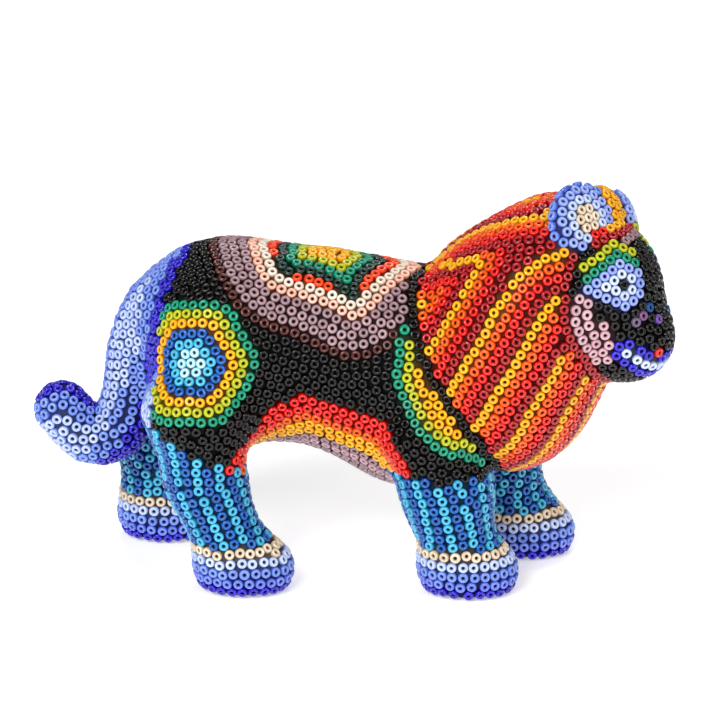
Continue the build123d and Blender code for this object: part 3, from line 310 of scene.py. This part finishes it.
def wax_material():
    """Brown beeswax with painted shade, darker among dark beads, and painted light in the colour of the
    glass round it.
    """
    s = Shader("beeswax")
    cloud = s.ramp(s.noise(WAX_CLOUD, detail=4.0), [(0.3, grey(0.7)), (0.7, grey(1.0))])
    # painted shade: the wax's colour runs from near black among dark beads to brown among pale ones
    shades = [(0.12, srgb("020101")), (0.3, srgb("0e0805")), (0.55, srgb("22190e")), (0.85, srgb("463e28"))]
    painted_glass_light = s.node("ShaderNodeAttribute", attribute_name="painted_glass_light").outputs["Color"]
    # painted light: part of the colour is that of the beads round the point
    colour = s.mix(PAINTED_LIGHT_SHARE, s.ramp(s.attribute("light"), shades), painted_glass_light)
    s.link(s.mix(1.0, colour, cloud, "MULTIPLY"), s.main.inputs["Base Color"])
    s.link(s.span(s.noise(WAX_POLISH, detail=3.0), low=0.5, high=0.75), s.main.inputs["Roughness"])
    s.set(IOR=1.44, Specular_IOR_Level=0.12)
    s.bump(s.noise(WAX_GRAIN, detail=4.0), strength=0.35, distance=0.0002)
    return s.material


def wood_material(name, light, dark):
    """Plain carved wood with a fine grain along X."""
    s = Shader(name)
    place = s.node("ShaderNodeTexCoord").outputs["Object"]
    stretch = s.node("ShaderNodeMapping")
    stretch.inputs["Scale"].default_value = WOOD_GRAIN
    s.link(place, stretch.inputs["Vector"])
    grain = s.node("ShaderNodeTexNoise", Scale=1.0, Detail=5.0)
    s.link(stretch.outputs["Vector"], grain.inputs["Vector"])
    colour = s.ramp(grain.outputs["Fac"], [(0.35, srgb(dark)), (0.65, srgb(light))])
    s.link(colour, s.main.inputs["Base Color"])
    s.link(s.span(grain.outputs["Fac"], low=0.5, high=0.75), s.main.inputs["Roughness"])
    s.bump(grain.outputs["Fac"], strength=0.2, distance=0.0002)
    return s.material


def make_materials():
    """All materials by record slot."""
    made = {slot: glass(slot, *look) for slot, look in GLASS.items()}
    made.update({slot: dark_glass(slot, *shades) for slot, shades in DARK_GLASS.items()})
    made["beeswax"] = wax_material()
    made["carved_wood"] = wood_material("carved_wood", "a8845a", "7e5c38")
    made["dowel_wood"] = wood_material("dowel_wood", "c8a878", "a88454")
    return made


# --- beads ------------------------------------------------------------------------------------
def tree_of(points):
    """Search tree of points."""
    tree = KDTree(len(points))
    for i, point in enumerate(points):
        tree.insert(point, i)
    tree.balance()
    return tree


def corners(thing):
    """All vertices of an object, in millimetres."""
    mesh = thing.data
    flat = np.empty(len(mesh.vertices) * 3)
    mesh.vertices.foreach_get("co", flat)
    return flat.reshape(-1, 3) / MM


def longest_side(beads):
    """Longest side of any bead's box."""
    return float((beads.max(axis=1) - beads.min(axis=1)).max())


def vertices_per_bead(points):
    """Number of vertices of one bead's tube, which is the same all over a node."""
    total = len(points)
    for size in range(total, BEAD_LEAST_POINTS - 1, -1):
        if total % size == 0 and longest_side(points.reshape(-1, size, 3)) < BEAD_BOX_MOST:
            return size
    raise ValueError("the beads' vertices don't repeat")


def bead_turns(beads, first):
    """Rotation of each bead from the first one, by matching vertices."""
    local = beads - beads.mean(axis=1, keepdims=True)
    cross = np.einsum("ki,nkj->nij", first, local)
    u, _, vt = np.linalg.svd(cross)
    flip = np.sign(np.linalg.det(np.einsum("nij,njk->nik", u, vt)))
    u[:, :, 2] *= flip[:, None]
    return np.einsum("nji,nkj->nik", vt, u)


def tube_axes(local):
    """Directions of one tube: along its hole, and two across it, in which it spreads alike."""
    spreads, directions = np.linalg.eigh(local.T @ local)
    along = 0 if spreads[1] - spreads[0] > spreads[2] - spreads[1] else 2
    return np.roll(directions, -along, axis=1).T


def bead_template():
    """Vertices, faces, share of painted highlight on the crown and share of painted shade in the hole, of a
    rounded bead whose hole lies along Z.
    """
    middle = (BEAD_OUTER + BEAD_HOLE) / 2
    half = (BEAD_OUTER - BEAD_HOLE) / 2
    points = []
    for side in range(BEAD_SIDES):
        turn = 2 * math.pi * side / BEAD_SIDES
        for angle, _, _ in BEAD_SECTION:
            c = math.cos(math.radians(angle))
            s = math.sin(math.radians(angle))
            radius = middle + half * math.copysign(abs(c) ** BEAD_ROUND, c)
            height = BEAD_HALF * math.copysign(abs(s) ** BEAD_ROUND, s)
            points.append((radius * math.cos(turn), radius * math.sin(turn), height))
    # share of painted highlight on the crown and of painted shade in the hole, per vertex
    crown = np.tile([highlight_share for _, highlight_share, _ in BEAD_SECTION], BEAD_SIDES)
    hole = np.tile([hole_shade_share for _, _, hole_shade_share in BEAD_SECTION], BEAD_SIDES)
    ring = len(BEAD_SECTION)
    faces = []
    for side in range(BEAD_SIDES):
        here = side * ring
        there = (side + 1) % BEAD_SIDES * ring
        for k in range(ring):
            after = (k + 1) % ring
            faces.append((here + k, there + k, there + after, here + after))
    return np.array(points), np.array(faces), crown, hole


def quad_mesh(name, points, faces, values):
    """Mesh of four-sided faces with float values on its vertices; points are in millimetres."""
    mesh = bpy.data.meshes.new(name)
    mesh.vertices.add(len(points))
    mesh.vertices.foreach_set("co", (points * MM).astype(np.float32).ravel())
    mesh.loops.add(faces.size)
    mesh.loops.foreach_set("vertex_index", faces.astype(np.int32).ravel())
    mesh.polygons.add(len(faces))
    mesh.polygons.foreach_set("loop_start", np.arange(0, faces.size, 4, dtype=np.int32))
    mesh.polygons.foreach_set("use_smooth", np.ones(len(faces), dtype=bool))
    mesh.update()
    for key, share in values.items():
        layer = mesh.attributes.new(key, "FLOAT", "POINT")
        layer.data.foreach_set("value", share.astype(np.float32))
    made = bpy.data.objects.new(name, mesh)
    bpy.context.scene.collection.objects.link(made)
    return made


def small_turns(count):
    """Random spins about the hole with a slight lean, as rotation matrices."""
    spin = RNG.uniform(0, 2 * math.pi, count)
    lean = np.radians(RNG.uniform(0, TILT, count))
    way = RNG.uniform(0, 2 * math.pi, count)
    turns = np.empty((count, 3, 3))
    for i in range(count):
        axis = Vector((math.cos(way[i]), math.sin(way[i]), 0))
        turns[i] = Matrix.Rotation(lean[i], 3, axis) @ Matrix.Rotation(spin[i], 3, "Z")
    return turns


def upright_turns(axes):
    """Rotation that takes Z to each axis."""
    return np.array([Vector((0, 0, 1)).rotation_difference(Vector(axis)).to_matrix() for axis in axes])


def bead_object(name, places, axes, widths, template):
    """One mesh with all beads of a node; widths are the beads' outer radii."""
    points, faces, crown, hole = template
    count = len(places)
    turns = upright_turns(axes) @ small_turns(count)
    size = np.ones((count, 1, 3))
    size[:, 0, :2] = (widths * RNG.uniform(NARROWEST, 1.0, count) / BEAD_OUTER)[:, None]
    size[:, 0, 2] = RNG.uniform(SHORTEST, 1.0, count)
    world = np.einsum("nij,nkj->nki", turns, points[None] * size) + places[:, None]
    index = faces[None] + (np.arange(count) * len(points))[:, None, None]
    tint = np.repeat(np.clip(RNG.normal(TINT_MIDDLE, TINT_SPREAD, count), 0, 1), len(points))
    low, high = np.array(CAD_BOX) / MM
    world = np.clip(world.reshape(-1, 3), low, high)
    values = {"tint": tint, "crown": np.tile(crown, count), "hole": np.tile(hole, count)}
    return quad_mesh(name, world, index.reshape(-1, 4), values)


def read_beads(name):
    """Middles and outward directions of a node's beads, from the tubes' vertices."""
    points = corners(NODES[name])
    beads = points.reshape(-1, vertices_per_bead(points), 3)
    mean = beads.mean(axis=1)
    local = beads[0] - mean[0]
    across = tube_axes(local)
    reach = local @ across.T
    offset = (reach.max(axis=0) + reach.min(axis=0)) / 2 @ across
    turns = bead_turns(beads, local)
    axes = np.einsum("nij,j->ni", turns, across[0])
    return mean + np.einsum("nij,j->ni", turns, offset), axes


def all_beads(found):
    """Middles and outward directions of the beads of all nodes."""
    return (np.concatenate(group) for group in zip(*found.values()))


def bead_widths(places):
    """Outer radius of each bead, as wide as its nearest neighbour allows."""
    tree = tree_of(places)
    gaps = np.array([tree.find_n(place, 2)[1][2] for place in places])  # the nearest is the bead itself
    return np.clip(gaps / 2 + BEAD_PRESS, BEAD_OUTER, BEAD_OUTER_MOST)


# --- wax --------------------------------------------------------------------------------------
def joined_copy(names):
    """One object with copies of several nodes' meshes."""
    copies = []
    for name in names:
        made = NODES[name].copy()
        made.data = NODES[name].data.copy()
        made.parent = None
        bpy.context.scene.collection.objects.link(made)
        copies.append(made)
    bpy.ops.object.select_all(action="DESELECT")
    for made in copies:
        made.select_set(True)
    bpy.context.view_layer.objects.active = copies[0]
    bpy.ops.object.join()
    return bpy.context.view_layer.objects.active


def outward_axes(found, tree):
    """Turn the beads' directions, in place, so that they point away from the wax."""
    for places, axes in found.values():
        for i, place in enumerate(places):
            near = tree.find(place)[0]
            if Vector(axes[i]).dot(Vector(place) - near) < 0:
                axes[i] *= -1


def fitted_wax(points, seats, axes):
    """Wax vertices moved to the level of the bead seats around them."""
    tree = tree_of(seats)
    moved = points.copy()
    for k, point in enumerate(points):
        near = [(i, gap) for _, i, gap in tree.find_n(point, WAX_SEATS) if gap < WAX_REACH]
        if not near:
            continue
        weights = np.array([math.exp(-(gap / WAX_BLUR) ** 2) for _, gap in near])
        chosen = [i for i, _ in near]
        normal = (weights[:, None] * axes[chosen]).sum(axis=0)
        length = np.linalg.norm(normal)
        if length < 1e-6 or weights.sum() < 1e-3:
            continue
        normal /= length
        height = ((seats[chosen] - point) * axes[chosen]).sum(axis=1)
        step = float((weights * height).sum() / weights.sum())
        moved[k] += normal * max(-WAX_DOWN_MOST, min(WAX_UP_MOST, step))
    return moved


def rim_colour(slot):
    """Linear colour of a glass at the bead's rim."""
    return np.array(srgb(GLASS[slot][0] if slot in GLASS else DARK_GLASS[slot][0]))


def painted_light_on_wax(points, found):
    """Mean colour of the few beads nearest to each wax vertex, which is painted on the wax as light from
    the glass.
    """
    places, _ = all_beads(found)
    tree = tree_of(places)
    shades = np.concatenate([np.tile(rim_colour(SLOTS[name]), (len(found[name][0]), 1)) for name in found])
    nearest = [[i for _, i, _ in tree.find_n(point, PAINTED_LIGHT_BEADS)] for point in points]
    return np.array([shades[beads].mean(axis=0) for beads in nearest])


def lightness(colours):
    """How light linear colours are, from 0 to 1."""
    return np.sqrt(colours[:, :3] @ np.array(LIGHTNESS))


def make_wax(found):
    """The whole wax coat as one smooth skin that the beads are sunk into."""
    wax = joined_copy(WAX_NODES + CORE_NODES)
    wax.name = "wax_coat"
    wax.data.materials.clear()
    remesh = wax.modifiers.new("remesh", "REMESH")
    remesh.mode = "VOXEL"
    remesh.voxel_size = WAX_VOXEL * MM
    bpy.ops.object.modifier_apply(modifier="remesh")

    points = corners(wax)
    places, axes = all_beads(found)
    seats = places + axes * (WAX_RISE - BEAD_HALF)
    sole = points[:, 2] < SOLE_HEIGHT
    for _ in range(WAX_PASSES):
        points = np.where(sole[:, None], points, fitted_wax(points, seats, axes))
    points[:, 2] = np.maximum(points[:, 2], 0.0)

    mesh = wax.data
    mesh.vertices.foreach_set("co", (points * MM).ravel())
    mesh.update()
    # painted light and shade on the wax, from the colours of the beads round each point
    painted_glass_light = painted_light_on_wax(points, found).astype(np.float32)
    mesh.attributes.new("painted_glass_light", "FLOAT_COLOR", "POINT").data.foreach_set("color", painted_glass_light.ravel())
    mesh.attributes.new("light", "FLOAT", "POINT").data.foreach_set("value", lightness(painted_glass_light))
    mesh.polygons.foreach_set("use_smooth", np.ones(len(mesh.polygons), dtype=bool))
    smooth = wax.modifiers.new("smooth", "SMOOTH")
    smooth.iterations = 3
    smooth.factor = 0.5
    return wax


# --- figure -----------------------------------------------------------------------------------
def make_figure():
    """The beads and the wax in place of their nodes, and materials on the hidden wood."""
    materials = make_materials()
    found = {name: read_beads(name) for name in BEAD_NODES}
    outward_axes(found, tree_of(np.concatenate([corners(NODES[name]) for name in WAX_NODES])))

    template = bead_template()
    all_places, _ = all_beads(found)
    widths = bead_widths(all_places)
    first = 0
    for name, (places, axes) in found.items():
        mine = widths[first:first + len(places)]
        first += len(places)
        beads = bead_object(name.replace("_beads", "_glass"), places, axes, mine, template)
        beads.data.materials.append(materials[SLOTS[name]])
        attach(beads, "root")
        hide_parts(name)

    wax = make_wax(found)
    wax.data.materials.append(materials["beeswax"])
    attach(wax, "root")
    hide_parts(*WAX_NODES)

    for name, node in NODES.items():
        if name not in BEAD_NODES and name not in WAX_NODES:
            node.data.materials.clear()
            node.data.materials.append(materials[SLOTS[name]])


# --- studio -----------------------------------------------------------------------------------
def make_floor():
    """Pale floor, wide enough to fill the frame."""
    bpy.ops.mesh.primitive_plane_add(size=FLOOR_SIZE, location=(0, 0, -FLOOR_DROP))
    floor = bpy.context.active_object
    floor.name = "floor"
    s = Shader("floor_paper")
    colour = s.ramp(s.noise(FLOOR_CLOUD, detail=3.0), [(0.3, grey(0.93)), (0.7, grey(0.95))])
    s.link(colour, s.main.inputs["Base Color"])
    s.set(Roughness=0.8, Emission_Color=(1, 1, 1, 1), Emission_Strength=0.4)
    s.bump(s.noise(FLOOR_GRAIN), strength=0.02, distance=0.0002)
    floor.data.materials.append(s.material)


def make_surroundings():
    """White surroundings that give little light, but look bright where the camera sees them."""
    world = bpy.data.worlds.new("studio")
    world.use_nodes = True
    tree = world.node_tree
    background = tree.nodes["Background"]
    background.inputs["Color"].default_value = grey(1.0)
    seen = tree.nodes.new("ShaderNodeLightPath").outputs["Is Camera Ray"]
    strength = tree.nodes.new("ShaderNodeMath")
    strength.operation = "MULTIPLY_ADD"
    strength.inputs[1].default_value = SKY_SEEN - SKY_LIGHT
    strength.inputs[2].default_value = SKY_LIGHT
    tree.links.new(seen, strength.inputs[0])
    tree.links.new(strength.outputs[0], background.inputs["Strength"])
    bpy.context.scene.world = world


def soft_light(name, place, size, power):
    """Rectangular soft box, aimed at the figure."""
    lamp = bpy.data.lights.new(name, "AREA")
    lamp.shape = "RECTANGLE"
    lamp.size, lamp.size_y = size
    lamp.energy = power
    made = bpy.data.objects.new(name, lamp)
    made.location = place
    made.rotation_euler = (Vector(LIGHT_AIM) - Vector(place)).to_track_quat("-Z", "Y").to_euler()
    bpy.context.scene.collection.objects.link(made)


def make_camera():
    """Camera from the figure's right side, a little to the front and above."""
    turn = math.radians(VIEW_TURN)
    down = math.radians(VIEW_DOWN)
    forward = Vector((-math.sin(turn) * math.cos(down), math.cos(turn) * math.cos(down), -math.sin(down)))
    data = bpy.data.cameras.new("camera")
    data.sensor_width = SENSOR
    data.lens = SENSOR * VIEW_AWAY / FRAME_WIDTH
    data.shift_x = SHIFT_RIGHT
    data.shift_y = SHIFT_UP
    data.clip_start = 0.05
    data.clip_end = 20.0
    camera = bpy.data.objects.new("camera", data)
    camera.location = Vector(VIEW_TARGET) - forward * VIEW_AWAY
    camera.rotation_euler = forward.to_track_quat("-Z", "Y").to_euler()
    bpy.context.scene.collection.objects.link(camera)
    bpy.context.scene.camera = camera


make_figure()
make_floor()
make_surroundings()
for light in LIGHTS:
    soft_light(*light)
make_camera()
bpy.context.scene.view_settings.view_transform = "Standard"
